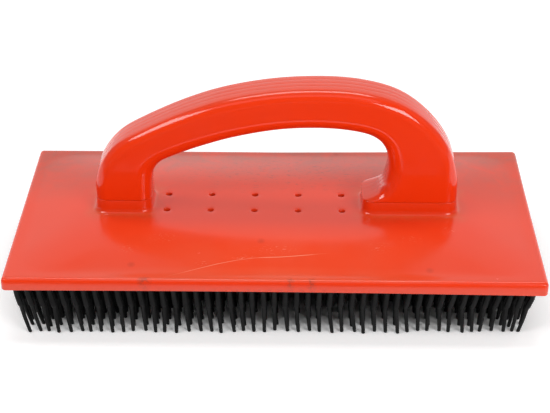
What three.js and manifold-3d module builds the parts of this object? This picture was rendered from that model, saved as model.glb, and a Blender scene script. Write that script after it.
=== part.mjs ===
// A plasterer's hand float with a rubber pin mat: a domed plastic plate with a rim, an arched
// handle screwed to two raised bosses, and a rubber mat of bristle pins set into the underside.
//
// Millimetres, +Z up, +X along the plate. The origin is on the floor under the middle of the
// plate, so z = 0 is the plane of the pin tips that the float stands on.

import * as THREE from "three";
import { mergeVertices } from "three/addons/utils/BufferGeometryUtils.js";
import Module from "manifold-3d";

const wasm = await Module();
wasm.setup();

// Plate
const PLATE_LENGTH = 280;
const PLATE_WIDTH = 140;
const RIM_HEIGHT = 7.7; // depth of the plate's outer edge
const RIM_WALL = 3;
const SKIN = 3; // thickness of the plate's top
const PLAN_RADIUS = 2.5; // corners of the plate, seen from above
const CORNER_GROWTH = 0.3; // how fast that radius grows towards the middle of the dome
const TOP_EDGE_RADIUS = 2.5;
const FLAT_BORDER = 6; // level band around the dome
const DOME_RUN = 44; // from the level band to the level middle
const DOME_RISE = 5.7;
const DOME_EASE = 1.12; // above 1, the dome leaves the level band gently

// Bristle mat
const PIN_LENGTH = 28.4; // from the floor to the mat's backing sheet
const PIN_SHOW = 27.7; // length of pin that shows below the rim
const MAT_SHEET = 2.8;
const MAT_CLEARANCE = 0.6; // between the backing sheet and the rim
const PIN_FIELD_INSET = 4.3; // from the plate's edge to the outermost pins' sides
const PIN_TAPER = 0.8; // how much further in the pins' tips lie

// Levels that follow from those
const RIM_BOTTOM = PIN_SHOW;
const RIM_TOP = RIM_BOTTOM + RIM_HEIGHT;
const SHEET_TOP = PIN_LENGTH + MAT_SHEET;

// Bosses that carry the handle
const SEAM_Z = 49; // top of the bosses
const BOSS_FILLET = 3;
const BOSS_CORNER = 6.5;
const BOSSES = {
  left: { from: -97, to: -67 },
  right: { from: 46.8, to: 97.7 },
};

// Handle
const HANDLE_WIDTH = 26;
const GRIP_EDGE = 6.2; // rounding of the grip's two outer long edges
const INNER_EDGE = 8.5; // rounding of its two inner ones
const EDGE_BLEND_HEIGHT = 20; // height over which the boss corner becomes those roundings
const HANDLE_WALL = 3.5;
const HANDLE_STEPS = 36;

// Screws, two in each leg
const SCREWS = {
  screw_left_outer: -88,
  screw_left_inner: -75,
  screw_right_inner: 68,
  screw_right_outer: 86,
};
const SCREW_X = Object.values(SCREWS);
const SCREW_HEAD = { radius: 4, height: 2.6, crown: 0.7 };
const SCREW_LENGTH = 24; // under the head
const THREAD = { root: 1.55, crest: 2, pitch: 2.4, turns: 7 };
const SCREW_SEGMENTS = 10;
const CROSS_RECESS = { length: 4.6, width: 1, depth: 1.3 };
const SEAT_THICKNESS = 4; // plastic between a screw's head and the seam
const COUNTERBORE_RADIUS = 4.8;
const COLUMN_WALL = 2;
const PILOT_RADIUS = 2.3;
const PILOT_DEPTH = 21;
const HANDLE_COLUMN_RADIUS = 4.6;

// Vent holes
const VENT_RADIUS = 1.7;
const VENT_SPACING = 23.75;
const VENT_MIDDLE_X = -11.6;
const VENT_ROW_Y = 8.4;

// Ribs under the plate
const RIB = 2;
const RIB_ROWS_Y = [-36, 0, 36];
const RIB_SPACING_X = 2 * VENT_SPACING;

const GAP = 0.3; // between neighbouring pieces
const CORNER_STEPS = 4;
const ROUND_SEGMENTS = 16;
const OVERCUT = 1; // how far a cutter runs past the face it opens

// Pairs of points along the handle, [x, height above the seam], from the left foot over the
// grip to the right foot: the first on its outer outline, the second opposite on its inner one.
const HANDLE_STATIONS = [
  [[-97, 0], [-67, 0]],
  [[-96.8, 10], [-66.8, 7]],
  [[-92.8, 21.3], [-65.4, 14.8]],
  [[-83.7, 32.5], [-61.3, 20.5]],
  [[-69.4, 41.3], [-54.3, 24.1]],
  [[-48.3, 51.3], [-40.5, 29.6]],
  [[-26.8, 58.6], [-22, 35.4]],
  [[-1.3, 63.4], [0, 39.8]],
  [[24.1, 64.8], [20, 41.1]],
  [[45.4, 63.1], [37.5, 40]],
  [[64.9, 57.3], [50.5, 36.7]],
  [[80.6, 45.7], [57.5, 30.1]],
  [[92, 30.3], [59.9, 20.5]],
  [[97, 14.5], [59, 11.5]],
  [[97.6, 6], [56.4, 5.3]],
  [[97.7, 2.2], [52.4, 2.2]],
  [[97.7, 0], [46.8, 0]],
];

const redPlastic = new THREE.MeshStandardMaterial({ color: 0xe23a1c, roughness: 0.28, metalness: 0 });
const blackRubber = new THREE.MeshStandardMaterial({ color: 0x1c1c1e, roughness: 0.75, metalness: 0 });
const zincSteel = new THREE.MeshStandardMaterial({ color: 0xb9bcc0, roughness: 0.35, metalness: 1 });

// A closed geometry as a solid that can be joined and cut.
function solidOf(geometry) {
  const bare = new THREE.BufferGeometry();
  bare.setAttribute("position", geometry.getAttribute("position"));
  bare.setIndex(geometry.index);
  const merged = mergeVertices(bare, 1e-4);
  const triangles = [];
  for (let i = 0; i < merged.index.count; i += 3) {
    const [a, b, c] = merged.index.array.slice(i, i + 3);
    if (a !== b && b !== c && c !== a) {
      triangles.push(a, b, c);
    }
  }
  return new wasm.Manifold(new wasm.Mesh({
    numProp: 3,
    vertProperties: merged.attributes.position.array,
    triVerts: new Uint32Array(triangles),
  }));
}

function geometryOf(solid) {
  const mesh = solid.getMesh();
  const geometry = new THREE.BufferGeometry();
  geometry.setAttribute("position", new THREE.BufferAttribute(mesh.vertProperties, 3));
  geometry.setIndex(new THREE.BufferAttribute(mesh.triVerts, 1));
  geometry.computeVertexNormals();
  return geometry;
}

function named(name, solid, material) {
  const mesh = new THREE.Mesh(geometryOf(solid), material);
  mesh.name = name;
  return mesh;
}

function joined(solids) {
  return solids.reduce((all, next) => all.add(next));
}

// Points around a rounded rectangle, anticlockwise from the middle of its +u side. The corners
// on the +u side can have a radius of their own.
function roundedRectangle(halfU, halfV, minusRadius, plusRadius = minusRadius) {
  const points = [];
  for (let corner = 0; corner < 4; corner += 1) {
    const signU = corner === 0 || corner === 3 ? 1 : -1;
    const signV = corner < 2 ? 1 : -1;
    const radius = signU > 0 ? plusRadius : minusRadius;
    for (let step = 0; step <= CORNER_STEPS; step += 1) {
      const angle = (Math.PI / 2) * (corner + step / CORNER_STEPS);
      const u = signU * (halfU - radius) + radius * Math.cos(angle);
      const v = signV * (halfV - radius) + radius * Math.sin(angle);
      points.push([u, v]);
    }
  }
  return points;
}

// A closed solid through rings of equal length, each anticlockwise when it is seen from the
// end that the rings run towards.
function loft(rings) {
  const size = rings[0].length;
  const positions = rings.flat().flatMap((point) => [point.x, point.y, point.z]);
  const index = [];
  for (let ring = 0; ring + 1 < rings.length; ring += 1) {
    for (let i = 0; i < size; i += 1) {
      const next = (i + 1) % size;
      const a = ring * size + i;
      const b = ring * size + next;
      index.push(a, b, b + size, a, b + size, a + size);
    }
  }
  const last = (rings.length - 1) * size;
  for (let i = 1; i + 1 < size; i += 1) {
    index.push(0, i + 1, i);
    index.push(last, last + i, last + i + 1);
  }
  const geometry = new THREE.BufferGeometry();
  geometry.setAttribute("position", new THREE.Float32BufferAttribute(positions, 3));
  geometry.setIndex(index);
  return solidOf(geometry);
}

function levelRing(halfX, halfY, radius, z, middleX = 0) {
  return roundedRectangle(halfX, halfY, radius).map(([x, y]) => new THREE.Vector3(middleX + x, y, z));
}

function box(sizeX, sizeY, fromZ, toZ, x, y) {
  const geometry = new THREE.BoxGeometry(sizeX, sizeY, toZ - fromZ);
  geometry.translate(x, y, (fromZ + toZ) / 2);
  return solidOf(geometry);
}

function upright(radius, fromZ, toZ, x, y = 0) {
  const geometry = new THREE.CylinderGeometry(radius, radius, toZ - fromZ, ROUND_SEGMENTS);
  geometry.rotateX(Math.PI / 2);
  geometry.translate(x, y, (fromZ + toZ) / 2);
  return solidOf(geometry);
}

// Height of the plate's top surface above the rim, at a distance inside its edge.
function domeRise(inset) {
  const t = THREE.MathUtils.clamp((inset - FLAT_BORDER) / DOME_RUN, 0, 1);
  return DOME_RISE * Math.sin((Math.PI / 2) * t ** DOME_EASE);
}

function plateRing(inset, z) {
  const radius = PLAN_RADIUS + CORNER_GROWTH * inset;
  return levelRing(PLATE_LENGTH / 2 - inset, PLATE_WIDTH / 2 - inset, radius, z);
}

function domeRings(drop) {
  const steps = 9;
  const rings = [];
  for (let step = 0; step <= steps; step += 1) {
    const inset = FLAT_BORDER + (DOME_RUN * step) / steps;
    rings.push(plateRing(inset, RIM_TOP - drop + domeRise(inset)));
  }
  return rings;
}

function plateOuter() {
  const rings = [plateRing(0, RIM_BOTTOM)];
  const steps = 3;
  for (let step = 0; step <= steps; step += 1) {
    const angle = ((Math.PI / 2) * step) / steps;
    const inset = TOP_EDGE_RADIUS * (1 - Math.cos(angle));
    rings.push(plateRing(inset, RIM_TOP - TOP_EDGE_RADIUS * (1 - Math.sin(angle))));
  }
  return loft(rings.concat(domeRings(0)));
}

function bossMiddle({ from, to }) {
  return { x: (from + to) / 2, half: (to - from) / 2 };
}

// A raised pad with a fillet where it grows out of the plate.
function boss(span) {
  const { x, half } = bossMiddle(span);
  const domeTop = RIM_TOP + DOME_RISE;
  const halfWidth = HANDLE_WIDTH / 2;
  const ring = (spread, z) => levelRing(half + spread, halfWidth + spread, BOSS_CORNER + spread, z, x);
  const rings = [ring(BOSS_FILLET, domeTop - SKIN / 2)];
  const steps = 4;
  for (let step = 0; step <= steps; step += 1) {
    const angle = ((Math.PI / 2) * step) / steps;
    rings.push(ring(BOSS_FILLET * (1 - Math.sin(angle)), domeTop + BOSS_FILLET * (1 - Math.cos(angle))));
  }
  rings.push(ring(0, SEAM_Z));
  return loft(rings);
}

function bossHollow(span) {
  const { x, half } = bossMiddle(span);
  const halfY = HANDLE_WIDTH / 2 - RIM_WALL;
  const radius = BOSS_CORNER - RIM_WALL;
  const levels = [RIM_TOP, SEAM_Z - SEAT_THICKNESS];
  return loft(levels.map((z) => levelRing(half - RIM_WALL, halfY, radius, z, x)));
}

function plateHollow() {
  const rings = [RIM_BOTTOM - OVERCUT, RIM_TOP - SKIN].map((z) => plateRing(RIM_WALL, z));
  const hollow = loft(rings.concat(domeRings(SKIN)));
  return joined([hollow, ...Object.values(BOSSES).map(bossHollow)]);
}

function ribs() {
  const fromZ = SHEET_TOP + GAP;
  const lengthwise = RIB_ROWS_Y.map((y) => box(PLATE_LENGTH, RIB, fromZ, SEAM_Z, 0, y));
  const crosswise = [];
  for (let k = -2; k <= 2; k += 1) {
    const x = VENT_MIDDLE_X + VENT_SPACING / 2 + RIB_SPACING_X * k;
    crosswise.push(box(RIB, PLATE_WIDTH, fromZ, SEAM_Z, x, 0));
  }
  return joined([...lengthwise, ...crosswise]);
}

function screwColumns() {
  const radius = COUNTERBORE_RADIUS + COLUMN_WALL;
  return joined(SCREW_X.map((x) => upright(radius, SHEET_TOP + GAP, SEAM_Z, x)));
}

function plateBores() {
  const seat = SEAM_Z - SEAT_THICKNESS;
  const cutters = [];
  for (const x of SCREW_X) {
    cutters.push(upright(COUNTERBORE_RADIUS, RIM_BOTTOM, seat, x));
    cutters.push(upright(PILOT_RADIUS, seat - OVERCUT, SEAM_Z + OVERCUT, x));
  }
  for (let k = -2; k <= 2; k += 1) {
    for (const side of [-1, 1]) {
      const x = VENT_MIDDLE_X + VENT_SPACING * k;
      cutters.push(upright(VENT_RADIUS, RIM_TOP, SEAM_Z, x, side * VENT_ROW_Y));
    }
  }
  return joined(cutters);
}

function basePlate() {
  const body = joined([plateOuter(), ...Object.values(BOSSES).map(boss)]);
  const hollow = plateHollow().subtract(ribs()).subtract(screwColumns());
  return body.subtract(hollow).subtract(plateBores());
}

// Sections of the handle, shrunk by a wall thickness where they bound its hollow.
function handleRings(wall) {
  const curves = [0, 1].map((side) => {
    const points = HANDLE_STATIONS.map((pair) => new THREE.Vector2(...pair[side]));
    return new THREE.SplineCurve(points);
  });
  const footZ = SEAM_Z + GAP;
  const rings = [];
  for (let step = 0; step <= HANDLE_STEPS; step += 1) {
    const [outer, inner] = curves.map((curve) => curve.getPoint(step / HANDLE_STEPS));
    const middle = outer.clone().add(inner).multiplyScalar(0.5);
    const across = inner.clone().sub(outer);
    const half = across.length() / 2;
    across.normalize();
    const grown = Math.min(1, middle.y / EDGE_BLEND_HEIGHT);
    const [outerEdge, innerEdge] = [GRIP_EDGE, INNER_EDGE].map((edge) => (
      THREE.MathUtils.lerp(BOSS_CORNER, edge, grown) - wall
    ));
    const section = roundedRectangle(half - wall, HANDLE_WIDTH / 2 - wall, outerEdge, innerEdge);
    rings.push(section.map(([u, v]) => new THREE.Vector3(
      middle.x + across.x * u,
      v,
      footZ + middle.y + across.y * u,
    )));
  }
  return rings;
}

// The space inside the handle, open at both feet.
function handleHollow() {
  const rings = handleRings(HANDLE_WALL);
  const lowered = (ring) => ring.map((point) => new THREE.Vector3(point.x, point.y, SEAM_Z - OVERCUT));
  return loft([lowered(rings[0]), ...rings, lowered(rings[rings.length - 1])]);
}

function handle() {
  const footZ = SEAM_Z + GAP;
  const columnTop = footZ + PILOT_DEPTH + HANDLE_WALL;
  const columns = joined(SCREW_X.flatMap((x) => [
    upright(HANDLE_COLUMN_RADIUS, footZ, columnTop, x),
    box(RIB, HANDLE_WIDTH, footZ, columnTop, x, 0),
  ]));
  const pilots = joined(SCREW_X.map((x) => upright(PILOT_RADIUS, SEAM_Z, footZ + PILOT_DEPTH, x)));
  return loft(handleRings(0)).subtract(handleHollow().subtract(columns)).subtract(pilots);
}

// A screw that points upwards: pan head with a cross recess below, tapping thread above.
function screw() {
  const { radius, height, crown } = SCREW_HEAD;
  const { root, crest, pitch, turns } = THREAD;
  const profile = [[0, 0], [radius - crown, 0], [radius, crown], [radius, height], [root, height]];
  for (let turn = 1; turn <= turns; turn += 1) {
    const z = height + turn * pitch;
    profile.push([root, z], [crest, z + pitch / 4], [root, z + pitch / 2]);
  }
  profile.push([0, height + SCREW_LENGTH]);
  const outline = profile.map((point) => new THREE.Vector2(...point));
  const geometry = new THREE.LatheGeometry(outline, SCREW_SEGMENTS);
  geometry.rotateX(Math.PI / 2);
  const { length, width, depth } = CROSS_RECESS;
  const recess = joined([
    box(length, width, -OVERCUT, depth, 0, 0),
    box(width, length, -OVERCUT, depth, 0, 0),
  ]);
  return solidOf(geometry).subtract(recess);
}

// The mat: a backing sheet inside the rim, and below it the block of space that its pins fill.
function bristleMat() {
  const sheetInset = RIM_WALL + MAT_CLEARANCE;
  return loft([
    plateRing(PIN_FIELD_INSET + PIN_TAPER, 0),
    plateRing(PIN_FIELD_INSET, PIN_LENGTH),
    plateRing(sheetInset, PIN_LENGTH),
    plateRing(sheetInset, SHEET_TOP),
  ]);
}

const handFloat = new THREE.Group();
handFloat.add(named("base_plate", basePlate(), redPlastic));
handFloat.add(named("handle", handle(), redPlastic));
handFloat.add(named("bristle_mat", bristleMat(), blackRubber));
for (const [name, x] of Object.entries(SCREWS)) {
  const mesh = named(name, screw(), zincSteel);
  mesh.position.set(x, 0, SEAM_Z - SEAT_THICKNESS - GAP - SCREW_HEAD.height);
  handFloat.add(mesh);
}

export default handFloat;
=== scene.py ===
"""Looks of a hand float: a domed red plastic plate, an arched handle and a black rubber pin mat.

Everything is in metres in the row frame: +X along the plate, +Y across it, +Z up, floor at z = 0.
"""

import math
import random

import bpy
from mathutils import Matrix, Vector
from mathutils.geometry import delaunay_2d_cdt


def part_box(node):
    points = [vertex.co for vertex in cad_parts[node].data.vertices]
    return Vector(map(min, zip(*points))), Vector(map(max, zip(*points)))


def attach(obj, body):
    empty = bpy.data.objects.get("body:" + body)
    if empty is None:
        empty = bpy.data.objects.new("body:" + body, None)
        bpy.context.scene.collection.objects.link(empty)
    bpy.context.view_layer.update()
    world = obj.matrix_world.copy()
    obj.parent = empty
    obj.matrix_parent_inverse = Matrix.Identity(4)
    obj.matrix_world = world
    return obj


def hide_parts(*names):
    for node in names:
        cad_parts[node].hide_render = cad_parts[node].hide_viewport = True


MM = 0.001

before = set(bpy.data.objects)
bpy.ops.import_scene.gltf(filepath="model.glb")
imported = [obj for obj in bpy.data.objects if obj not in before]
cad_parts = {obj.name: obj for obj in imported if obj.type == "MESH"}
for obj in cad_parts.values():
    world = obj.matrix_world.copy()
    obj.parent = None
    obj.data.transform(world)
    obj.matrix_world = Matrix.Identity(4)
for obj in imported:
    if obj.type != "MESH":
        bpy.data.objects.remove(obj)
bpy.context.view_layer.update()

# Places read from the frame
plate_low, plate_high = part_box("base_plate")
mat_low, mat_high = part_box("bristle_mat")
handle_low, handle_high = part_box("handle")

# Plate
HALF_LENGTH = plate_high.x
HALF_WIDTH = plate_high.y
RIM_BOTTOM = plate_low.z
RIM_TOP = RIM_BOTTOM + 7.7 * MM
SEAM_Z = plate_high.z
RIM_WALL = 3 * MM
SKIN = 3 * MM
PLAN_RADIUS = 2.5 * MM
TOP_EDGE_RADIUS = 2.5 * MM
BOTTOM_EDGE_RADIUS = 0.5 * MM
FLAT_BORDER = 6 * MM
DOME_RUN = 44 * MM
DOME_RISE = 5.7 * MM
DOME_EASE = 1.12
DOME_CORNER_BLEND = 22 * MM
SMALLEST_PLAN_RADIUS = 0.4 * MM

# How the plate has warped: the rim's bottom edge bows up, and the back right corner lifts
RIM_BOW = 1.1 * MM
RIM_BOW_MIDDLE = -30 * MM
RIM_BOW_REACH = 170 * MM
RIM_BOW_HEIGHT = 1 * MM
CORNER_TWIST = 1.6 * MM
CORNER_TWIST_EASE = 1.5

# The net of triangles that makes the plate's skin: its spacing, the height of a row of triangles
# as a share of that, and the room it leaves at the edges
SKIN_SPACING = 2.4 * MM
ROW_SHARE = 0.866
EDGE_ROOM = 0.6

# Bosses under the handle's feet: where each starts and ends along X
BOSSES = [(-97 * MM, -67 * MM), (46.8 * MM, 97.7 * MM)]
BOSS_CORNER = 6.5 * MM
BOSS_FILLET = 3 * MM
BOSS_LIP = 0.35 * MM

# Vent holes
VENT_RADIUS = 1.7 * MM
VENT_LIP = 0.5 * MM
VENT_SPACING = 23.75 * MM
VENT_MIDDLE_X = -11.6 * MM
VENT_ROW_Y = 8.4 * MM
VENT_SIDES = 28

# Handle: pairs of points along it, [x, height above the foot] in millimetres, from the left
# foot over the grip to the right foot, first on the outer outline, then on the inner one.
HANDLE_STATIONS = [
    [(-97, 0), (-67, 0)],
    [(-96.8, 10), (-66.8, 7)],
    [(-92.8, 21.3), (-65.4, 14.8)],
    [(-83.7, 32.5), (-61.3, 20.5)],
    [(-69.4, 41.3), (-54.3, 24.1)],
    [(-48.3, 51.3), (-40.5, 29.6)],
    [(-26.8, 58.6), (-22, 35.4)],
    [(-1.3, 63.4), (0, 39.8)],
    [(24.1, 64.8), (20, 41.1)],
    [(45.4, 63.1), (37.5, 40)],
    [(64.9, 57.3), (50.5, 36.7)],
    [(80.6, 45.7), (57.5, 30.1)],
    [(92, 30.3), (59.9, 20.5)],
    [(97, 14.5), (59, 11.5)],
    [(97.6, 6), (56.4, 5.3)],
    [(97.7, 2.2), (52.4, 2.2)],
    [(97.7, 0), (46.8, 0)],
]
HANDLE_HALF_WIDTH = handle_high.y
GRIP_EDGE = 6.2 * MM
INNER_EDGE = 8.5 * MM
EDGE_BLEND_HEIGHT = 20 * MM
HANDLE_STEPS = 200
GROOVES_V = [-3.8 * MM, 0.4 * MM, 4.2 * MM]
GROOVE_HALF_WIDTH = 0.22 * MM
GROOVE_DEPTH = 0.08 * MM
GROOVE_SPACES = 3
GRIP_CROWN = 0.15 * MM
FACE_STEPS = 8

# Rubber pins
PIN_COLUMNS = 47
PIN_ROWS = 23
PIN_PITCH = 5.826 * MM
PIN_ROOT_RADIUS = 1.35 * MM
PIN_BULGE_RADIUS = 1.68 * MM
PIN_STEP_Z = 16 * MM
PIN_NECK_RADIUS = 1.15 * MM
PIN_TIP_RADIUS = 0.98 * MM
PIN_SIDES = 12
PIN_STRAY = 0.5 * MM
PIN_SHORTER = 0.3 * MM
PIN_SEED = 7

# How the pins lean: ROOT leans each pin's step towards the mat's middle, TIP the tips to the
# right, END the tips at the mat's ends inwards, BACK every pin to the back, TWIST the right end's
# pins further back and the left end's forward, and CORNER the front left corner's tips forward.
PIN_LEAN_ROOT = 2.6 * MM
PIN_LEAN_TIP = 0.9 * MM
PIN_LEAN_END = 4 * MM
PIN_LEAN_BACK = 0.4 * MM
PIN_LEAN_TWIST = 1.8 * MM
PIN_LEAN_CORNER = 3.5 * MM
ROWS_PER_STRIP = 4

# How the bend is spread over a pin's upper part and over its lower part
PIN_ROOT_BEND = 0.75
PIN_TIP_BEND = 1.2

# Backing sheet of the mat
SHEET_BOTTOM = 28.4 * MM
SHEET_EDGE_RADIUS = 0.6 * MM

# Steps around a quarter turn
CORNER_STEPS = 8
LARGE_EDGE_STEPS = 6
SMALL_EDGE_STEPS = 3

# Share of a soft spot's size that has its full strength
SPOT_CORE = 0.25

# Marks of use on the plate, with patches that paint light and shade on it, all in millimetres. A
# patch is its middle and its half sizes.
FRONT_DUST_AND_LIGHT = ((5, -52, 38), (125, 34, 100))
EDGE_DUST_AND_SHEEN = ((-5, -68, 35), (150, 11, 100))
ARCH_DIRT_AND_SHADE = ((5, 40, 38), (85, 34, 100))
SCRATCH = [(-57, -66.6), (-37.3, -58.7), (-28, -55.4), (-12.3, -51.5), (5.7, -50), (29.4, -46.8)]
SCRATCH_SPAN = 70
SCRATCH_START_FADE = 30
SCRATCH_END_FADE = 14
MARK_HEIGHT = 38
DARK_DOTS = [(-7.4, -37.9), (79.9, -59.5), (-74.1, -56.9), (34.4, 65.4)]
DOT_SIZE = (2.6, 2.6, 30)

# Smudges on the front of the rim: place along X and half length, then place and size in Y and Z
RIM_SMUDGES = [(-66.3, 4.5), (8.1, 3), (19.2, 3.5)]
SMUDGE_PLACE = (-69, 34)
SMUDGE_SIZE = (3.2, 5.5)

# Patches of fine scuffs on the top: x, y, half length and half width
SCUFF_REACH = 60
SCUFFS = [
    (-76.8, -44.9, 7, 4),
    (-58.1, -35.4, 9, 5),
    (0.1, -44.7, 16, 5),
    (55, -42.5, 8, 5),
    (71, -35.3, 9, 4),
    (-16.5, -50.9, 10, 3),
    (92.8, -27, 6, 4),
    (-36, -56, 6, 3),
]

# Colours, as linear red, green and blue
PLATE_RED = (0.82, 0.038, 0.0018)
PLATE_DEEP_RED = (0.79, 0.035, 0.0018)
HANDLE_RED = (0.83, 0.037, 0.0018)
HANDLE_DEEP_RED = (0.80, 0.034, 0.0018)
SHADED_RED = (0.4, 0.012, 0.001)
COOL_DUST_AND_SHEEN = (0.2, 0.36, 0.24)
WARM_DUST_AND_LIGHT = (0.95, 0.44, 0.24)
HANDLE_DUST_AND_SHEEN = (0.42, 0.25, 0.18)
RIM_FOOT_BROWN = (0.25, 0.09, 0.055)
BACK_DIRT_AND_SHADE = (0.2, 0.1, 0.075)
FLECK_BROWN = (0.13, 0.05, 0.035)
BOSS_GRIME_AND_SHADE = (0.45, 0.2, 0.07)
DOT_BROWN = (0.28, 0.02, 0.008)
SMUDGE_BROWN = (0.16, 0.045, 0.03)
WORN_PALE = (0.86, 0.36, 0.22)
PIN_TONE = 0.003
SHEET_TONE = 0.005


def smooth(t):
    """Runs from 0 to 1 with level ends."""
    return (1 - math.cos(math.pi * min(max(t, 0), 1))) / 2


def mix(a, b, t):
    """Runs from a to b as t runs from 0 to 1."""
    return a + (b - a) * t


def quarter_turn(steps):
    """(sine, cosine) at even steps from 0 to 90 degrees."""
    angles = [math.pi / 2 * step / steps for step in range(steps + 1)]
    return [(math.sin(angle), math.cos(angle)) for angle in angles]


# ---------------------------------------------------------------- meshes


class Shell:
    """Collects the vertices and faces of one piece."""

    def __init__(self):
        self.verts = []
        self.faces = []

    def loop(self, points):
        """Adds a loop of points and returns their numbers."""
        first = len(self.verts)
        self.verts.extend(points)
        return list(range(first, len(self.verts)))

    def strip(self, low, high):
        """Joins two loops that run anticlockwise, seen from the side of the second."""
        n = len(low)
        for i in range(n):
            j = (i + 1) % n
            self.faces.append((low[i], low[j], high[j], high[i]))

    def tube(self, rings, downward=False):
        """Adds rings of points, joins each one to the next, and returns their loops."""
        loops = [self.loop(ring) for ring in rings]
        for first, second in zip(loops, loops[1:]):
            if downward:
                self.strip(second, first)
            else:
                self.strip(first, second)
        return loops

    def cap(self, loop, up=True):
        """Closes a loop with one face."""
        self.faces.append(tuple(loop) if up else tuple(reversed(loop)))

    def piece(self, name, material, crease_angle=40):
        """Makes the object, with its edges sharp where faces meet at more than the crease angle."""
        mesh = bpy.data.meshes.new(name)
        mesh.from_pydata([tuple(v) for v in self.verts], [], self.faces)
        mesh.validate()
        mesh.update()
        mesh.shade_smooth()
        mesh.set_sharp_from_angle(angle=math.radians(crease_angle))
        mesh.materials.append(material)
        obj = bpy.data.objects.new(name, mesh)
        bpy.context.scene.collection.objects.link(obj)
        return obj


def rounded_rectangle(half_u, half_v, radius, steps_u, steps_v):
    """Points around a rounded rectangle, anticlockwise, with extra ones along its sides."""
    arcs = []
    for corner, (sign_u, sign_v) in enumerate([(1, 1), (-1, 1), (-1, -1), (1, -1)]):
        arc = []
        for step in range(CORNER_STEPS + 1):
            angle = math.pi / 2 * (corner + step / CORNER_STEPS)
            u = sign_u * (half_u - radius) + radius * math.cos(angle)
            v = sign_v * (half_v - radius) + radius * math.sin(angle)
            arc.append((u, v))
        arcs.append(arc)
    points = []
    for corner, arc in enumerate(arcs):
        start, end = arc[-1], arcs[(corner + 1) % 4][0]
        steps = steps_v if corner % 2 else steps_u
        points += arc
        for step in range(1, steps):
            t = step / steps
            points.append((mix(start[0], end[0], t), mix(start[1], end[1], t)))
    return points


# ---------------------------------------------------------------- base plate


def dome_rise(x, y):
    """Height of the plate's top above its rim."""
    from_end = HALF_LENGTH - abs(x)
    from_side = HALF_WIDTH - abs(y)
    near = max(DOME_CORNER_BLEND - abs(from_end - from_side), 0) / DOME_CORNER_BLEND
    inset = min(from_end, from_side) - near * near * DOME_CORNER_BLEND / 4
    t = min(max((inset - FLAT_BORDER) / DOME_RUN, 0), 1)
    return DOME_RISE * math.sin(math.pi / 2 * t**DOME_EASE)


def rim_bow(x):
    """How far the rim's bottom edge bows up, because the moulding has shrunk a little."""
    return max(0, RIM_BOW * (1 - ((x - RIM_BOW_MIDDLE) / RIM_BOW_REACH) ** 2))


def corner_twist(x, y):
    """How far the plate has warped up towards its back right corner."""
    share_x = min(max(x / HALF_LENGTH, 0), 1)
    share_y = min(max(y / HALF_WIDTH, 0), 1)
    return CORNER_TWIST * share_x * share_y**CORNER_TWIST_EASE


def plate_top(x, y):
    """Height of the plate's top surface, before it warps."""
    return RIM_TOP + dome_rise(x, y)


def plate_underside(x, y):
    """Height of the skin's underside, before it warps."""
    return plate_top(x, y) - SKIN


def plate_loop(inset):
    """The plate's outline on the plan, moved inwards."""
    radius = max(PLAN_RADIUS - inset, SMALLEST_PLAN_RADIUS)
    steps_x = round(2 * HALF_LENGTH / SKIN_SPACING)
    steps_y = round(2 * HALF_WIDTH / SKIN_SPACING)
    return rounded_rectangle(HALF_LENGTH - inset, HALF_WIDTH - inset, radius, steps_x, steps_y)


def boss_loop(start, end, spread):
    """A boss's outline on the plan, moved outwards."""
    half = (end - start) / 2
    middle = (start + end) / 2
    steps_x = round(2 * half / SKIN_SPACING)
    steps_y = round(2 * HANDLE_HALF_WIDTH / SKIN_SPACING)
    points = rounded_rectangle(
        half + spread, HANDLE_HALF_WIDTH + spread, BOSS_CORNER + spread, steps_x, steps_y
    )
    return [(middle + x, y) for x, y in points]


def vent_middles():
    """The middles of the vent holes, in two rows of five."""
    for k in range(-2, 3):
        for side in (-1, 1):
            yield VENT_MIDDLE_X + VENT_SPACING * k, side * VENT_ROW_Y


def circle(x, y, radius, sides):
    """Points around a circle on the plan."""
    angles = [2 * math.pi * i / sides for i in range(sides)]
    return [(x + radius * math.cos(a), y + radius * math.sin(a)) for a in angles]


def inside(point, loop):
    """Whether a point lies inside a loop of points."""
    x, y = point
    found = False
    for (ax, ay), (bx, by) in zip(loop, loop[1:] + loop[:1]):
        if (ay > y) != (by > y) and x < ax + (y - ay) * (bx - ax) / (by - ay):
            found = not found
    return found


def grid_points(border, holes):
    """Staggered grid points inside the border, clear of it and of the holes."""
    clear = EDGE_ROOM * SKIN_SPACING
    rows = int(2 * HALF_WIDTH / (SKIN_SPACING * ROW_SHARE))
    columns = int(2 * HALF_LENGTH / SKIN_SPACING)
    boxes = []
    for loop in holes:
        xs = [p[0] for p in loop]
        ys = [p[1] for p in loop]
        boxes.append((min(xs) - clear, max(xs) + clear, min(ys) - clear, max(ys) + clear))
    border_x = max(p[0] for p in border) - clear
    border_y = max(p[1] for p in border) - clear
    points = []
    for row in range(rows + 1):
        y = (row - rows / 2) * SKIN_SPACING * ROW_SHARE
        for column in range(columns + 1):
            x = (column - columns / 2 + (row % 2) / 2) * SKIN_SPACING
            if abs(x) > border_x or abs(y) > border_y:
                continue
            near = False
            for loop, (x0, x1, y0, y1) in zip(holes, boxes):
                if x0 < x < x1 and y0 < y < y1:
                    touching = any((x - px) ** 2 + (y - py) ** 2 < clear * clear for px, py in loop)
                    near = near or touching or inside((x, y), loop)
            if not near:
                points.append((x, y))
    return points


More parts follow.
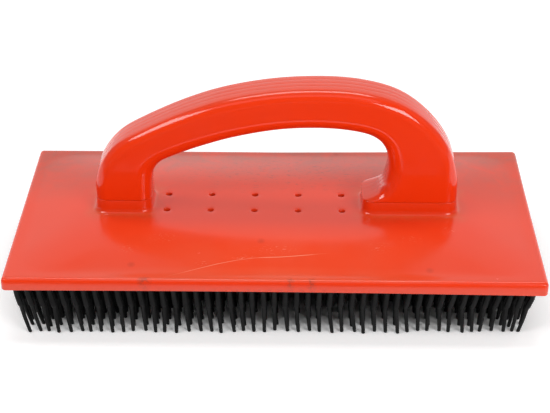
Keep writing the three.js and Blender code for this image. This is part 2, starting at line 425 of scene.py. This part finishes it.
def skin(shell, border, holes, height, up):
    """Fills the space between the border and the holes with a fine net of triangles.

    border and holes are lists of vertex numbers that the shell holds already.
    """
    loops = [border] + holes
    flat_loops = [[(shell.verts[i][0], shell.verts[i][1]) for i in loop] for loop in loops]
    coordinates = []
    numbers = []
    edges = []
    for loop, flat in zip(loops, flat_loops):
        first = len(coordinates)
        coordinates.extend(Vector(p) for p in flat)
        numbers.extend(loop)
        n = len(loop)
        edges.extend((first + i, first + (i + 1) % n) for i in range(n))
    for x, y in grid_points(flat_loops[0], flat_loops[1:]):
        coordinates.append(Vector((x, y)))
        shell.verts.append((x, y, height(x, y)))
        numbers.append(len(shell.verts) - 1)
    points, _, triangles, sources, _, _ = delaunay_2d_cdt(coordinates, edges, [], 0, 1e-7)
    for triangle in triangles:
        middle = (
            sum(points[i][0] for i in triangle) / 3,
            sum(points[i][1] for i in triangle) / 3,
        )
        if not inside(middle, flat_loops[0]) or any(inside(middle, h) for h in flat_loops[1:]):
            continue
        face = [numbers[sources[i][0]] for i in triangle]
        shell.faces.append(tuple(face) if up else tuple(reversed(face)))


def rounded_edge(inset, inner):
    """(inset, z) around one of the two rounded edges at the bottom of the rim."""
    radius = BOTTOM_EDGE_RADIUS
    levels = []
    for sine, cosine in quarter_turn(SMALL_EDGE_STEPS):
        if inner:
            levels.append((inset + radius * cosine, RIM_BOTTOM + radius * (1 - sine)))
        else:
            levels.append((inset - radius * sine, RIM_BOTTOM + radius * (1 - cosine)))
    return levels


def add_rim(shell):
    """The rim: inner wall, rounded bottom edges, outer wall and rounded top edge."""
    levels = [(RIM_WALL, RIM_TOP - SKIN)]
    levels += rounded_edge(RIM_WALL - BOTTOM_EDGE_RADIUS, inner=True)
    levels += rounded_edge(BOTTOM_EDGE_RADIUS, inner=False)
    for sine, cosine in quarter_turn(LARGE_EDGE_STEPS):
        levels.append((TOP_EDGE_RADIUS * (1 - cosine), RIM_TOP - TOP_EDGE_RADIUS * (1 - sine)))
    rings = []
    for inset, z in levels:
        lift = 1 if z < RIM_BOTTOM + RIM_BOW_HEIGHT else 0
        rings.append([(x, y, z + lift * rim_bow(x)) for x, y in plate_loop(inset)])
    return shell.tube(rings)


def add_boss(shell, start, end):
    """A boss: a fillet out of the dome, a wall, and a rounded lip at the seam."""
    rings = []
    for sine, cosine in quarter_turn(LARGE_EDGE_STEPS):
        rise = BOSS_FILLET * (1 - cosine)
        loop = boss_loop(start, end, BOSS_FILLET * (1 - sine))
        rings.append([(x, y, plate_top(x, y) + rise) for x, y in loop])
    for sine, cosine in quarter_turn(SMALL_EDGE_STEPS):
        z = SEAM_Z - BOSS_LIP * (1 - sine)
        rings.append([(x, y, z) for x, y in boss_loop(start, end, -BOSS_LIP * (1 - cosine))])
    loops = shell.tube(rings)
    shell.cap(loops[-1])
    return loops


def add_vent(shell, middle_x, middle_y):
    """A vent hole: a straight bore through the skin, and a rounded lip."""
    bore = circle(middle_x, middle_y, VENT_RADIUS, VENT_SIDES)
    rings = [[(x, y, plate_underside(x, y)) for x, y in bore]]
    for sine, cosine in quarter_turn(SMALL_EDGE_STEPS):
        drop = VENT_LIP * (1 - sine)
        lip = circle(middle_x, middle_y, VENT_RADIUS + VENT_LIP * (1 - cosine), VENT_SIDES)
        rings.append([(x, y, plate_top(x, y) - drop) for x, y in lip])
    return shell.tube(rings, downward=True)


def make_plate(material):
    """The plate: a rim, two bosses and ten vent holes, joined by a skin above and one below."""
    shell = Shell()
    rim = add_rim(shell)
    bosses = [add_boss(shell, start, end) for start, end in BOSSES]
    vents = [add_vent(shell, x, y) for x, y in vent_middles()]
    holes_above = [boss[0] for boss in bosses] + [vent[-1] for vent in vents]
    holes_below = [vent[0] for vent in vents]
    skin(shell, rim[-1], holes_above, plate_top, up=True)
    skin(shell, rim[0], holes_below, plate_underside, up=False)
    shell.verts = [(x, y, z + corner_twist(x, y)) for x, y, z in shell.verts]
    return shell.piece("plate_shell", material)


# ---------------------------------------------------------------- handle


def catmull_rom(points, t):
    """A point on the smooth curve through points, with t from 0 to 1."""
    place = t * (len(points) - 1)
    k = min(int(place), len(points) - 2)
    w = place - k
    p0 = points[max(k - 1, 0)]
    p1, p2 = points[k], points[k + 1]
    p3 = points[min(k + 2, len(points) - 1)]
    result = []
    for a, b, c, d in zip(p0, p1, p2, p3):
        v0, v1 = (c - a) / 2, (d - b) / 2
        cubic = 2 * b - 2 * c + v0 + v1
        square = 3 * c - 3 * b - 2 * v0 - v1
        result.append(cubic * w**3 + square * w**2 + v0 * w + b)
    return Vector(result)


def groove_depth(v):
    """How deep the fine lengthwise grooves are at a place across the handle."""
    return sum(GROOVE_DEPTH * smooth(1 - abs(v - g) / GROOVE_HALF_WIDTH) for g in GROOVES_V)


def places_across(flat):
    """Places across the handle's flat side, close together over each groove."""
    shares = [i / GROOVE_SPACES for i in range(1, GROOVE_SPACES + 1)]
    places = [-flat]
    for groove in GROOVES_V:
        start = places[-1]
        places += [mix(start, groove - GROOVE_HALF_WIDTH, share) for share in shares]
        places += [groove + GROOVE_HALF_WIDTH * share for share in (-0.5, 0, 0.5, 1)]
    start = places[-1]
    return places + [mix(start, flat, share) for share in shares]


def handle_side(half_u, edge_dust_and_sheen):
    """One broad side of the handle's section with its two rounded edges, at +u, from -v to +v."""
    flat_v = HANDLE_HALF_WIDTH - edge_dust_and_sheen
    flat_u = half_u - GRIP_CROWN - edge_dust_and_sheen
    turn = quarter_turn(CORNER_STEPS)[1:-1]
    side = [(flat_u + edge_dust_and_sheen * sine, -flat_v - edge_dust_and_sheen * cosine) for sine, cosine in turn]
    for v in places_across(flat_v):
        crown = GRIP_CROWN * (1 - (v / flat_v) ** 2)
        side.append((flat_u + edge_dust_and_sheen + crown - groove_depth(v), v))
    return side + [(flat_u + edge_dust_and_sheen * cosine, flat_v + edge_dust_and_sheen * sine) for sine, cosine in turn]


def handle_section(half_u, outer_edge, inner_edge):
    """The handle's section, anticlockwise.

    u runs inwards across the handle's thickness, and v across its width.
    """
    inner_u = half_u - GRIP_CROWN - inner_edge
    outer_u = GRIP_CROWN + outer_edge - half_u
    shares = [i / FACE_STEPS for i in range(FACE_STEPS + 1)]
    section = handle_side(half_u, inner_edge)
    section += [(mix(inner_u, outer_u, share), HANDLE_HALF_WIDTH) for share in shares]
    section += [(-u, -v) for u, v in handle_side(half_u, outer_edge)]
    return section + [(mix(outer_u, inner_u, share), -HANDLE_HALF_WIDTH) for share in shares]


def make_handle(material):
    """The handle: sections lofted between its outer and inner outlines."""
    outer = [(x * MM, z * MM) for (x, z), _ in HANDLE_STATIONS]
    inner = [(x * MM, z * MM) for _, (x, z) in HANDLE_STATIONS]
    foot_z = handle_low.z
    rings = []
    for step in range(HANDLE_STEPS + 1):
        t = step / HANDLE_STEPS
        a, b = catmull_rom(outer, t), catmull_rom(inner, t)
        middle, across = (a + b) / 2, (b - a)
        half = across.length / 2
        across.normalize()
        grown = min(1, middle.y / EDGE_BLEND_HEIGHT)
        outer_edge = mix(BOSS_CORNER, GRIP_EDGE, grown)
        inner_edge = mix(BOSS_CORNER, INNER_EDGE, grown)
        ring = []
        for u, v in handle_section(half, outer_edge, inner_edge):
            height = max(middle.y + across.y * u, 0)
            ring.append((middle.x + across.x * u, v, foot_z + height))
        rings.append(ring)
    shell = Shell()
    loops = shell.tube(rings)
    shell.cap(loops[0], up=False)
    shell.cap(loops[-1])
    return shell.piece("handle_grip", material, crease_angle=50)


# ---------------------------------------------------------------- rubber mat


def pin_profile():
    """(height above the floor, radius) from the root of a pin to its tip."""
    return [
        # Flare at the sheet
        (SHEET_BOTTOM, PIN_ROOT_RADIUS + 0.35 * MM),
        (SHEET_BOTTOM - 0.6 * MM, PIN_ROOT_RADIUS + 0.05 * MM),
        # Thick upper part, which swells towards the step
        (mix(SHEET_BOTTOM, PIN_STEP_Z, 0.5), mix(PIN_ROOT_RADIUS, PIN_BULGE_RADIUS, 0.6)),
        (PIN_STEP_Z + 1.4 * MM, PIN_BULGE_RADIUS),
        (PIN_STEP_Z + 0.3 * MM, PIN_BULGE_RADIUS - 0.08 * MM),
        # Step
        (PIN_STEP_Z, PIN_BULGE_RADIUS - 0.28 * MM),
        (PIN_STEP_Z - 0.3 * MM, PIN_NECK_RADIUS),
        # Thin lower part
        (PIN_STEP_Z * 0.55, mix(PIN_NECK_RADIUS, PIN_TIP_RADIUS, 0.5)),
        (PIN_STEP_Z * 0.25, mix(PIN_NECK_RADIUS, PIN_TIP_RADIUS, 0.8)),
        # Rounded tip
        (0.5 * MM, PIN_TIP_RADIUS),
        (0.12 * MM, PIN_TIP_RADIUS - 0.08 * MM),
        (0, PIN_TIP_RADIUS - 0.3 * MM),
    ]


def add_pin(shell, x, y, at_step, at_tip, shorter):
    """One two-step pin: its middle leans by at_step, and its tip by at_tip more."""
    rings = []
    for z, radius in pin_profile():
        if z < PIN_STEP_Z:
            z += shorter * (1 - z / PIN_STEP_Z)
        down = (SHEET_BOTTOM - z) / (SHEET_BOTTOM - PIN_STEP_Z)
        upper = min(smooth(down * PIN_ROOT_BEND) / smooth(PIN_ROOT_BEND), 1)
        lower = max(0, 1 - z / PIN_STEP_Z) ** PIN_TIP_BEND
        dx = at_step[0] * upper + at_tip[0] * lower
        dy = at_step[1] * upper + at_tip[1] * lower
        rings.append([(px, py, z) for px, py in circle(x + dx, y + dy, radius, PIN_SIDES)])
    loops = shell.tube(rings, downward=True)
    shell.cap(loops[-1], up=False)


def pin_lean(x, y):
    """How far a pin leans, from its root to its step and from its step to its tip."""
    share_x, share_y = x / HALF_LENGTH, y / HALF_WIDTH
    step_x = -PIN_LEAN_ROOT * share_x
    tip_x = PIN_LEAN_TIP - PIN_LEAN_END * share_x**5
    step_y = (PIN_LEAN_BACK + PIN_LEAN_TWIST * share_x) / 2
    tip_y = step_y
    if x < 0 and y < 0:
        tip_y -= PIN_LEAN_CORNER * (share_x * share_y) ** 12
    return (step_x, step_y), (tip_x, tip_y)


def make_pins(material):
    """The pins, in strips of a few rows, each pin bent a little in its own way."""
    draw = random.Random(PIN_SEED)
    strips = []
    for first in range(0, PIN_ROWS, ROWS_PER_STRIP):
        shell = Shell()
        for row in range(first, min(first + ROWS_PER_STRIP, PIN_ROWS)):
            for column in range(PIN_COLUMNS):
                x = (column - (PIN_COLUMNS - 1) / 2) * PIN_PITCH
                y = (row - (PIN_ROWS - 1) / 2) * PIN_PITCH
                at_step, at_tip = pin_lean(x, y)
                at_step = [side + draw.gauss(0, PIN_STRAY / 2) for side in at_step]
                at_tip = [side + draw.gauss(0, PIN_STRAY) for side in at_tip]
                shorter = abs(draw.gauss(0, PIN_SHORTER))
                add_pin(shell, x, y, at_step, at_tip, shorter)
        strips.append(shell.piece(f"pin_strip_{len(strips) + 1}", material, crease_angle=60))
    return strips


def make_mat_sheet(material):
    """The backing sheet that the pins stand on, with rounded edges."""
    radius = SHEET_EDGE_RADIUS
    inset = HALF_LENGTH - mat_high.x
    levels = []
    for sine, cosine in quarter_turn(SMALL_EDGE_STEPS):
        levels.append((inset + radius * (1 - sine), SHEET_BOTTOM + radius * (1 - cosine)))
    for sine, cosine in quarter_turn(SMALL_EDGE_STEPS):
        levels.append((inset + radius * (1 - cosine), mat_high.z - radius * (1 - sine)))
    shell = Shell()
    loops = shell.tube([[(x, y, z) for x, y in plate_loop(inset)] for inset, z in levels])
    shell.cap(loops[0], up=False)
    shell.cap(loops[-1])
    return shell.piece("mat_sheet", material)


# ---------------------------------------------------------------- materials


class Nodes:
    """A short way to build a material's node tree."""

    def __init__(self, name):
        self.material = bpy.data.materials.new(name)
        self.material.use_nodes = True
        self.tree = self.material.node_tree
        self.shader = self.tree.nodes["Principled BSDF"]

    def add(self, kind, inputs=(), **settings):
        """A node with its inputs and settings; an input is a value or another node's socket."""
        node = self.tree.nodes.new(kind)
        for key, value in settings.items():
            setattr(node, key, value)
        for key, value in dict(inputs).items():
            self.feed(node.inputs[key], value)
        return node

    def feed(self, socket, value):
        if isinstance(value, bpy.types.NodeSocket):
            self.tree.links.new(value, socket)
        else:
            socket.default_value = value

    def place(self):
        """Object coordinates, in metres."""
        return self.add("ShaderNodeTexCoord").outputs["Object"]

    def noise(self, scale, detail=3.0, roughness=0.5, vector=None, distortion=0.0):
        inputs = {
            "Vector": vector or self.place(),
            "Scale": scale,
            "Detail": detail,
            "Roughness": roughness,
            "Distortion": distortion,
        }
        return self.add("ShaderNodeTexNoise", inputs).outputs["Fac"]

    def remap(self, value, low, high, to_low=0.0, to_high=1.0):
        """Takes low..high to to_low..to_high, and stops at both ends."""
        inputs = {
            "Value": value,
            "From Min": low,
            "From Max": high,
            "To Min": to_low,
            "To Max": to_high,
        }
        return self.add("ShaderNodeMapRange", inputs).outputs["Result"]

    def blend(self, factor, a, b):
        """Mixes two colours; each is a socket or a plain red, green and blue."""
        a, b = [c if isinstance(c, bpy.types.NodeSocket) else (*c, 1) for c in (a, b)]
        node = self.add("ShaderNodeMix", data_type="RGBA")
        self.feed(node.inputs[0], factor)
        self.feed(node.inputs[6], a)
        self.feed(node.inputs[7], b)
        return node.outputs[2]

    def math(self, operation, a, b=0.0):
        node = self.add("ShaderNodeMath", operation=operation)
        self.feed(node.inputs[0], a)
        self.feed(node.inputs[1], b)
        return node.outputs[0]

    def bump(self, height, strength, distance):
        inputs = {"Height": height, "Strength": strength, "Distance": distance}
        return self.add("ShaderNodeBump", inputs).outputs["Normal"]

    def set(self, **values):
        """Sets the shader's inputs, whose names have _ for a space."""
        for key, value in values.items():
            self.feed(self.shader.inputs[key.replace("_", " ")], value)


def separate(n, vector):
    """The X, Y and Z of a vector socket."""
    return n.add("ShaderNodeSeparateXYZ", {"Vector": vector}).outputs


def spot(n, place, middle, size):
    """A soft mask, 1 around middle and 0 beyond size; middle and size are in millimetres."""
    shift = n.add("ShaderNodeVectorMath", operation="SUBTRACT")
    n.feed(shift.inputs[0], place)
    n.feed(shift.inputs[1], [v * MM for v in middle])
    scaled = n.add("ShaderNodeVectorMath", operation="DIVIDE")
    n.feed(scaled.inputs[0], shift.outputs["Vector"])
    n.feed(scaled.inputs[1], [v * MM for v in size])
    far = n.add("ShaderNodeVectorMath", operation="LENGTH")
    n.feed(far.inputs[0], scaled.outputs["Vector"])
    return n.remap(far.outputs["Value"], SPOT_CORE, 1, 1, 0)


def either(n, masks):
    """The strongest of several masks."""
    strongest = masks[0]
    for mask in masks[1:]:
        strongest = n.math("MAXIMUM", strongest, mask)
    return strongest


def long_scratch(n, split, haze):
    """A mask of one long, fine, broken scratch that curves across the front of the plate."""
    (x0, _), (x1, _) = SCRATCH[0], SCRATCH[-1]
    curve = n.add("ShaderNodeFloatCurve", {"Value": n.remap(split["X"], x0 * MM, x1 * MM)})
    points = curve.mapping.curves[0].points
    for index, (x, y) in enumerate(SCRATCH):
        place = ((x - x0) / (x1 - x0), (y + SCRATCH_SPAN) / SCRATCH_SPAN)
        if index == 0:
            points[0].location = place
        elif index == len(SCRATCH) - 1:
            points[-1].location = place
        else:
            points.new(*place)
    curve.mapping.update()
    line = n.remap(curve.outputs[0], 0, 1, -SCRATCH_SPAN * MM, 0)
    away = n.math("ABSOLUTE", n.math("SUBTRACT", split["Y"], line))
    thin = n.remap(away, 0.08 * MM, 0.38 * MM, 1, 0)
    started = n.remap(split["X"], x0 * MM, (x0 + SCRATCH_START_FADE) * MM)
    ended = n.remap(split["X"], (x1 - SCRATCH_END_FADE) * MM, x1 * MM, 1, 0)
    along = n.math("MULTIPLY", started, ended)
    broken = n.remap(haze, 0.38, 0.56, 0.1, 1)
    return n.math("MULTIPLY", n.math("MULTIPLY", thin, along), broken)


def beyond_box(n, place, middle, half):
    """How far a place lies outside a rectangle on the plan."""
    split = separate(n, place)
    squares = []
    for axis, centre, reach in zip("XY", middle, half):
        off = n.math("ABSOLUTE", n.math("SUBTRACT", split[axis], centre))
        beside = n.math("MAXIMUM", n.math("SUBTRACT", off, reach), 0.0)
        squares.append(n.math("MULTIPLY", beside, beside))
    return n.math("SQRT", n.math("ADD", *squares))


def near_bosses(n, place):
    """A mask that is strongest against the foot of either boss."""
    masks = []
    for start, end in BOSSES:
        half = ((end - start) / 2, HANDLE_HALF_WIDTH)
        far = beyond_box(n, place, ((start + end) / 2, 0), half)
        masks.append(n.remap(far, 1.5 * MM, 8 * MM, 1, 0))
    return either(n, masks)


def dust_and_painted_light_film(n, place, haze, on_skin, base):
    """A thin pale film on the plate's skin, thicker along its front edge: partly dust, partly a
    painted pool of light over the front middle and a painted sheen along the edge.
    """
    # The front patch paints a pool of light as well as dust, and the warm colour it brings is part
    # of that painted light.
    dust_and_light = spot(n, place, *FRONT_DUST_AND_LIGHT)
    # The band along the front edge paints a sheen as well as dust, in the cool pale colour.
    edge_dust_and_sheen = n.math("MULTIPLY", spot(n, place, *EDGE_DUST_AND_SHEEN), 0.08)
    film = n.math("ADD", n.remap(dust_and_light, 0, 1, 0.034, 0.08), edge_dust_and_sheen)
    film = n.math("MULTIPLY", n.remap(haze, 0.3, 0.7, 0.8, 1.2), film)
    film = n.math("MULTIPLY", on_skin, film)
    return n.blend(film, base, n.blend(dust_and_light, COOL_DUST_AND_SHEEN, WARM_DUST_AND_LIGHT))


def back_dirt_and_shade(n, place, on_top, mottle, base):
    """Dirt and painted shade that thicken and mottle towards the plate's back, with dark flecks
    behind the arch, where its painted shadow lies.
    """
    back = n.remap(separate(n, place)["Y"], 5 * MM, 60 * MM)
    # The darkening towards the back is partly dirt and partly painted shade of the back slope and
    # of the arch's shadow.
    dirt_and_shade = n.math("MULTIPLY", back, n.remap(mottle, 0.35, 0.7, 0.15, 0.58))
    base = n.blend(n.math("MULTIPLY", dirt_and_shade, on_top), base, BACK_DIRT_AND_SHADE)
    drawn = n.add("ShaderNodeMapping", {"Vector": place, "Scale": (1, 1.8, 1)}).outputs["Vector"]
    flecks = n.remap(n.noise(330, 3, 0.65, vector=drawn), 0.56, 0.68, 0, 0.45)
    return n.blend(n.math("MULTIPLY", flecks, spot(n, place, *ARCH_DIRT_AND_SHADE)), base, FLECK_BROWN)


def dark_dots(n, place, base):
    """A few soft dark dots on the plate's top."""
    dots = [spot(n, place, (x, y, MARK_HEIGHT), DOT_SIZE) for x, y in DARK_DOTS]
    return n.blend(n.math("MULTIPLY", either(n, dots), 0.26), base, DOT_BROWN)


def rim_smudges(n, place, base):
    """Smudges on the front of the rim."""
    smudges = []
    for x, half_length in RIM_SMUDGES:
        smudges.append(spot(n, place, (x, *SMUDGE_PLACE), (half_length, *SMUDGE_SIZE)))
    patchy = n.remap(n.noise(420, 4, 0.7), 0.42, 0.58, 0.05, 0.5)
    return n.blend(n.math("MULTIPLY", either(n, smudges), patchy), base, SMUDGE_BROWN)


def worn_marks(n, place, haze):
    """A mask of the scuffs and the long scratch."""
    slanted = {"Vector": place, "Rotation": (0, 0, 0.5), "Scale": (1, 3.2, 1)}
    streaks = n.add("ShaderNodeMapping", slanted).outputs["Vector"]
    fine = n.noise(520, 3, 0.6, vector=streaks)
    patches = []
    for x, y, half_length, half_width in SCUFFS:
        size = (half_length, half_width, SCUFF_REACH)
        patches.append(spot(n, place, (x, y, MARK_HEIGHT), size))
    scuffed = n.math("MULTIPLY", either(n, patches), n.remap(fine, 0.58, 0.68, 0, 0.4))
    scratch = n.math("MULTIPLY", long_scratch(n, separate(n, place), haze), 0.6)
    return n.math("MAXIMUM", scuffed, scratch)


def plate_marks_light_and_shade(n, haze, base, rough):
    """Dust, dirt, dots, smudges, scuffs and a scratch on the plate's colour and roughness, with
    painted light over the front and painted shade at the back and around the bosses.
    """
    place = n.place()
    height = separate(n, place)["Z"]
    dome_top = RIM_TOP + DOME_RISE
    on_top = n.remap(height, RIM_TOP - 1 * MM, RIM_TOP)
    below_bosses = n.remap(height, dome_top + 0.3 * MM, dome_top + 1.2 * MM, 1, 0)
    mottle = n.noise(60, 6, 0.7, distortion=0.6)

    base = dust_and_painted_light_film(n, place, haze, n.math("MULTIPLY", on_top, below_bosses), base)
    # The rim's face turns darker and browner towards its bottom edge.
    down_rim = n.remap(height, RIM_TOP - 1.5 * MM, RIM_TOP - 5 * MM, 0, 0.2)
    base = n.blend(down_rim, base, RIM_FOOT_BROWN)
    base = back_dirt_and_shade(n, place, on_top, mottle, base)
    # Grime against the bosses' feet, which also paints the shade in the creases around them.
    grime_and_shade = n.math("MULTIPLY", near_bosses(n, place), n.remap(mottle, 0.35, 0.65, 0.03, 0.2))
    base = n.blend(n.math("MULTIPLY", grime_and_shade, below_bosses), base, BOSS_GRIME_AND_SHADE)
    base = dark_dots(n, place, base)
    base = rim_smudges(n, place, base)
    marks = worn_marks(n, place, haze)
    base = n.blend(marks, base, WORN_PALE)
    rough = n.math("ADD", n.math("ADD", rough, 0.08), n.math("MULTIPLY", marks, 0.2))
    return base, rough


def handle_dust_and_shade(n, haze, base, rough):
    """A little dust where the handle faces up, which also paints its pale sheen, and a painted
    shade, a deeper colour, where it faces down.
    """
    facing = n.add("ShaderNodeTexCoord").outputs["Normal"]
    upward = separate(n, facing)["Z"]
    # Dust on the faces that look up, which also paints the pale sheen of the handle's top.
    dust = n.math("MULTIPLY", n.remap(upward, 0.7, 0.95), n.remap(haze, 0.3, 0.7, 0.1, 0.17))
    base = n.blend(dust, base, HANDLE_DUST_AND_SHEEN)
    # Painted shade: the faces that look down turn a deeper red.
    return n.blend(n.remap(upward, -0.2, -0.8, 0, 0.4), base, SHADED_RED), rough


def red_plastic(name, colour, deep_colour, marks_and_light):
    """Glossy injection-moulded plastic with faint flow tones, fine scuffs and a soft orange peel.

    The function passed in adds this piece's marks of use and its painted light and shade.
    """
    n = Nodes(name)
    base = n.blend(n.remap(n.noise(9, 3), 0.35, 0.65), colour, deep_colour)
    haze = n.noise(34, 5)
    scuff = n.noise(190, 6, 0.7)
    cloudy = n.remap(haze, 0.35, 0.7, 0.1, 0.16)
    rough = n.math("ADD", cloudy, n.remap(scuff, 0.55, 0.75, 0, 0.06))
    base, rough = marks_and_light(n, haze, base, rough)
    peel = n.bump(n.noise(260, 2), 0.05, 0.2 * MM)
    n.set(Base_Color=base, Roughness=rough, Normal=peel, IOR=1.5)
    return n.material


def black_rubber(name, tone):
    """Matte moulded rubber, with dusty patches and a fine skin."""
    n = Nodes(name)
    dust = n.noise(150, 4, 0.6)
    base = n.blend(
        n.remap(dust, 0.5, 0.75, 0, 0.6),
        (tone, tone, tone * 1.06),
        (tone * 2.6, tone * 2.6, tone * 2.7),
    )
    rough = n.remap(n.noise(90, 3), 0.3, 0.7, 0.42, 0.62)
    skin_bump = n.bump(n.noise(900, 3), 0.25, 0.15 * MM)
    n.set(Base_Color=base, Roughness=rough, Normal=skin_bump, IOR=1.5, Specular_IOR_Level=0.18)
    return n.material


def zinc_steel(name):
    """Zinc-plated steel with drawn streaks."""
    n = Nodes(name)
    streak = n.noise(600, 4, 0.6)
    base = n.blend(n.remap(streak, 0.3, 0.7), (0.58, 0.6, 0.63), (0.72, 0.72, 0.7))
    rough = n.remap(n.noise(300, 3), 0.3, 0.7, 0.26, 0.42)
    drawn = n.bump(streak, 0.1, 0.05 * MM)
    n.set(Base_Color=base, Roughness=rough, Normal=drawn, Metallic=1.0)
    return n.material


def card_black():
    """Matte black card."""
    n = Nodes("card_black")
    n.set(Base_Color=(0.01, 0.01, 0.01, 1), Roughness=1.0)
    return n.material


def floor_paper():
    """Pale paper that glows a little, as painted light, except under the mat, where the missing
    glow paints the shade.
    """
    n = Nodes("floor_paper")
    paper = n.blend(n.noise(60, 4), (0.93, 0.93, 0.93), (0.96, 0.96, 0.96))
    beyond = beyond_box(n, n.place(), (0, 0), PAINTED_SHADE_FLOOR_HALF)
    # The glow is painted light; it fades to nothing under the mat, which paints the shade there.
    painted_glow = n.remap(beyond, 2 * MM, 17 * MM, 0, 0.24)
    n.set(Base_Color=paper, Roughness=0.9, Emission_Color=(1, 1, 1, 1), Emission_Strength=painted_glow)
    return n.material


# ---------------------------------------------------------------- stage

# Camera: focal length in millimetres, turns in degrees, distance and aim in metres
CAMERA_FOCAL = 97.2
CAMERA_DOWN = 30.51
CAMERA_YAW = 0.717
CAMERA_ROLL = 0.112
CAMERA_DISTANCE = 820.2 * MM
CAMERA_AIM = (-0.6 * MM, 5.3 * MM, RIM_TOP)

# Floor, the part of it under the mat that doesn't glow, which paints the shade there, and the black
# card
FLOOR_HALF = 4
PAINTED_SHADE_FLOOR_HALF = (118 * MM, 49 * MM)
CARD_X = (-1, 1)
CARD_Y = (-1.2, -0.13)
CARD_Z = 1 * MM

# Lights: name, azimuth, elevation, distance, size and radiance of each softbox
AMBIENT = 0.14
STAGE_MIDDLE = Vector((0, 0, 0.06))
SOFTBOXES = [
    ("left_softbox", -64, 45, 1.8, (0.97, 0.42), 8.2),
    ("top_softbox", 180, 80, 1.2, (0.95, 0.28), 5.6),
    ("front_softbox", 0, 58, 1.6, (1.4, 0.6), 0.8),
    ("right_softbox", 39, 27, 1.2, (0.6, 0.36), 10),
    ("back_softbox", 178, 27, 1.4, (3.2, 1.5), 0.76),
    ("left_wall", -110, 25, 1.3, (1.6, 1.3), 0.18),
    ("right_wall", 110, 25, 1.3, (1.6, 1.3), 0.18),
]


def make_camera():
    """The camera, in front of the float and above it."""
    data = bpy.data.cameras.new("camera")
    data.lens = CAMERA_FOCAL
    data.sensor_width = 36
    camera = bpy.data.objects.new("camera", data)
    turn = (
        Matrix.Rotation(math.radians(CAMERA_YAW), 3, "Z")
        @ Matrix.Rotation(math.radians(90 - CAMERA_DOWN), 3, "X")
        @ Matrix.Rotation(math.radians(CAMERA_ROLL), 3, "Z")
    )
    camera.location = Vector(CAMERA_AIM) + turn @ Vector((0, 0, CAMERA_DISTANCE))
    camera.rotation_euler = turn.to_euler()
    bpy.context.scene.collection.objects.link(camera)
    bpy.context.scene.camera = camera


def make_softbox(name, azimuth, elevation, distance, size, radiance):
    """A softbox that faces the object; azimuth 0 is the camera's side, 90 the right."""
    data = bpy.data.lights.new(name, "AREA")
    data.shape = "RECTANGLE"
    data.size, data.size_y = size
    data.energy = radiance * math.pi * size[0] * size[1]
    lamp = bpy.data.objects.new(name, data)
    turn, rise = math.radians(azimuth), math.radians(elevation)
    level = math.cos(rise)
    away = Vector((math.sin(turn) * level, -math.cos(turn) * level, math.sin(rise)))
    lamp.location = STAGE_MIDDLE + distance * away
    lamp.rotation_euler = away.to_track_quat("Z", "Y").to_euler()
    lamp.visible_camera = False
    bpy.context.scene.collection.objects.link(lamp)


def make_sheet(name, x_range, y_range, z, material):
    """A level sheet of the stage."""
    (x0, x1), (y0, y1) = x_range, y_range
    mesh = bpy.data.meshes.new(name)
    mesh.from_pydata([(x0, y0, z), (x1, y0, z), (x1, y1, z), (x0, y1, z)], [], [(0, 1, 2, 3)])
    mesh.materials.append(material)
    sheet = bpy.data.objects.new(name, mesh)
    bpy.context.scene.collection.objects.link(sheet)
    return sheet


def make_stage():
    """The floor, the black card, the studio's ambient light and the softboxes."""
    across = (-FLOOR_HALF, FLOOR_HALF)
    make_sheet("floor", across, across, 0, floor_paper())

    # A black card that only reflections see keeps the handle's front from mirroring the floor.
    card = make_sheet("black_card", CARD_X, CARD_Y, CARD_Z, card_black())
    card.visible_camera = False
    card.visible_diffuse = False
    card.visible_shadow = False

    world = bpy.data.worlds.new("studio")
    world.use_nodes = True
    background = world.node_tree.nodes["Background"]
    background.inputs["Color"].default_value = (1, 1, 1, 1)
    background.inputs["Strength"].default_value = AMBIENT
    bpy.context.scene.world = world
    bpy.context.scene.view_settings.view_transform = "Standard"

    for softbox in SOFTBOXES:
        make_softbox(*softbox)


# ---------------------------------------------------------------- assembly

make_camera()
make_stage()

plate_plastic = red_plastic("red_plastic_plate", PLATE_RED, PLATE_DEEP_RED, plate_marks_light_and_shade)
grip_plastic = red_plastic("red_plastic_handle", HANDLE_RED, HANDLE_DEEP_RED, handle_dust_and_shade)
pin_rubber = black_rubber("black_rubber_pins", PIN_TONE)
sheet_rubber = black_rubber("black_rubber_sheet", SHEET_TONE)
steel = zinc_steel("zinc_steel")

plate = make_plate(plate_plastic)
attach(plate, "root")
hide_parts("base_plate")

handle = make_handle(grip_plastic)
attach(handle, "root")
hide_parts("handle")

for rubber in make_pins(pin_rubber) + [make_mat_sheet(sheet_rubber)]:
    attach(rubber, "root")
    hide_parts("bristle_mat")

for name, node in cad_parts.items():
    if name.startswith("screw_"):
        node.data.materials.clear()
        node.data.materials.append(steel)
